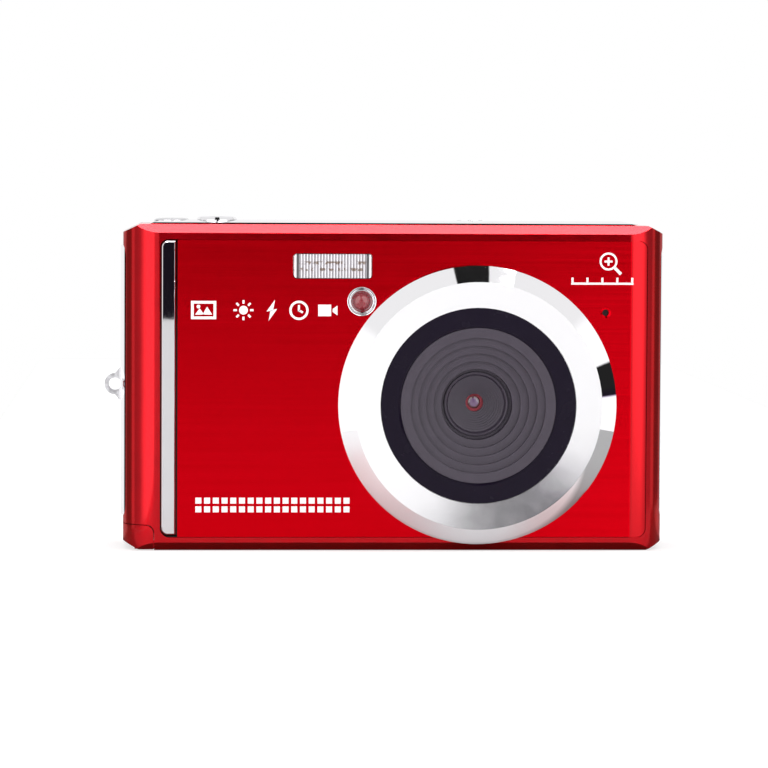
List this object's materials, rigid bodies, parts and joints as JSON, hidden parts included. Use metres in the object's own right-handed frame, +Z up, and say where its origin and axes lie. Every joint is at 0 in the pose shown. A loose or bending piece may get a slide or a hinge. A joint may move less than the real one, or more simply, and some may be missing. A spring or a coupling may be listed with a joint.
{
  "type": "compact digital camera",
  "caption": "Pocket digital camera with a fixed lens in a chrome ring, a flash, a rear screen with keys, and a battery door that slides out and swings down.",
  "frame": {"origin": "centre of the tripod socket's mouth, in the plane of the base", "axes": "+Z up, +X to the right seen from the front, the lens faces -Y; the tripod socket opens along -Z"},
  "size_m": [0.0941, 0.0244, 0.0556],
  "materials": {
    "red_shell": "satin red metallic paint over the shells",
    "red_panel": "red anodised, horizontally brushed",
    "chrome": "polished plating",
    "satin_silver": "satin silver",
    "black_gloss": "gloss black",
    "black_matte": "fine-grained black plastic",
    "hood_grey": "matt dark grey, stepped",
    "coated_glass": "coated optical glass",
    "filter_glass": "pale cyan filter glass",
    "clear_plastic": "clear ribbed plastic",
    "red_lens": "translucent red plastic",
    "green_board": "green solder mask",
    "steel": "stamped steel",
    "dark_steel": "blackened steel",
    "gold": "gold-plated contacts",
    "battery_wrap": "plain dark grey wrap",
    "capacitor_sleeve": "plain black sleeve",
    "window_black": "black-bordered screen window",
    "screen": "dark screen panel in its frame",
    "foam": "black foam gasket",
    "amber_film": "amber film",
    "green_light": "translucent green plastic"
  },
  "bodies": {
    "camera": {"front_cover": "red_shell", "front_panel": "red_panel", "accent_strip": "chrome", "side_band": "chrome", "rear_cover": "red_shell", "bottom_cover": "black_matte", "chassis": "black_matte", "lens_bezel": "chrome", "lens_trim_ring": "black_gloss", "lens_hood": "hood_grey", "lens_barrel": "black_matte", "front_lens": "coated_glass", "rear_lenses": "coated_glass", "aperture_stop": "dark_steel", "infrared_filter": "filter_glass", "image_sensor": "black_gloss", "sensor_board": "green_board", "flash_window": "clear_plastic", "flash_reflector": "chrome", "flash_tube": "filter_glass", "flash_capacitor": "capacitor_sleeve", "lamp_bezel": "chrome", "lamp_lens": "red_lens", "lamp_led": "red_lens", "microphone": "black_matte", "speaker": "dark_steel", "main_board": "green_board", "board_chips": "black_matte", "usb_socket": "steel", "card_slot": "steel", "battery": "battery_wrap", "battery_contacts": "gold", "lcd_window": "window_black", "lcd_module": "screen", "lcd_gasket": "foam", "lcd_ribbon": "amber_film", "key_board": "green_board", "dome_switches": "steel", "status_light": "green_light", "shutter_spring": "steel", "top_switches": "dark_steel", "top_board": "green_board", "tripod_socket": "steel", "case_screws": "dark_steel"},
    "shutter": {"shutter_button": "chrome"},
    "power": {"power_button": "satin_silver"},
    "zoom": {"zoom_rocker": "satin_silver"},
    "pad_carrier": {"nav_carrier": "black_matte"},
    "pad": {"nav_ring": "satin_silver"},
    "ok": {"ok_button": "satin_silver"},
    "mode": {"mode_button": "satin_silver"},
    "playback": {"playback_button": "satin_silver"},
    "menu": {"menu_button": "satin_silver"},
    "delete": {"delete_button": "satin_silver"},
    "slider": {"door_slider": "steel", "door_pin": "steel"},
    "door": {"battery_door": "red_shell"}
  },
  "joints": [
    {"name": "shutter_press", "type": "slide", "parent": "camera", "child": "shutter", "axis": [0, 0, -1], "range_m": [0, 0.0008], "stiffness_N_per_m": 900, "springref_m": -0.0004, "deforming": ["shutter_spring"]},
    {"name": "power_press", "type": "slide", "parent": "camera", "child": "power", "axis": [0, 0, -1], "range_m": [0, 0.0005], "stiffness_N_per_m": 900, "springref_m": -0.0004},
    {"name": "zoom_tilt", "type": "hinge", "parent": "camera", "child": "zoom", "pos_m": [-0.03, 0.0079, 0.0472], "axis": [0, 0, 1], "range_deg": [-2.5, 2.5], "stiffness_Nm_per_rad": 0.04},
    {"name": "pad_tilt_up_down", "type": "hinge", "parent": "camera", "child": "pad_carrier", "pos_m": [-0.03, 0.0066, 0.023], "axis": [1, 0, 0], "range_deg": [-1.8, 1.8], "stiffness_Nm_per_rad": 0.04},
    {"name": "pad_tilt_left_right", "type": "hinge", "parent": "pad_carrier", "child": "pad", "pos_m": [-0.03, 0.0066, 0.023], "axis": [0, 0, 1], "range_deg": [-1.8, 1.8], "stiffness_Nm_per_rad": 0.04},
    {"name": "ok_press", "type": "slide", "parent": "camera", "child": "ok", "axis": [0, -1, 0], "range_m": [0, 0.00035], "stiffness_N_per_m": 900, "springref_m": -0.0004},
    {"name": "mode_press", "type": "slide", "parent": "camera", "child": "mode", "axis": [0, -1, 0], "range_m": [0, 0.00035], "stiffness_N_per_m": 900, "springref_m": -0.0004},
    {"name": "playback_press", "type": "slide", "parent": "camera", "child": "playback", "axis": [0, -1, 0], "range_m": [0, 0.00035], "stiffness_N_per_m": 900, "springref_m": -0.0004},
    {"name": "menu_press", "type": "slide", "parent": "camera", "child": "menu", "axis": [0, -1, 0], "range_m": [0, 0.00035], "stiffness_N_per_m": 900, "springref_m": -0.0004},
    {"name": "delete_press", "type": "slide", "parent": "camera", "child": "delete", "axis": [0, -1, 0], "range_m": [0, 0.00035], "stiffness_N_per_m": 900, "springref_m": -0.0004},
    {"name": "door_slide", "type": "slide", "parent": "camera", "child": "slider", "axis": [-1, 0, 0], "range_m": [0, 0.0028]},
    {"name": "door_swing", "type": "hinge", "parent": "slider", "child": "door", "pos_m": [-0.0076, 0, 0.0013], "axis": [0, -1, 0], "range_deg": [0, 95]}
  ]
}
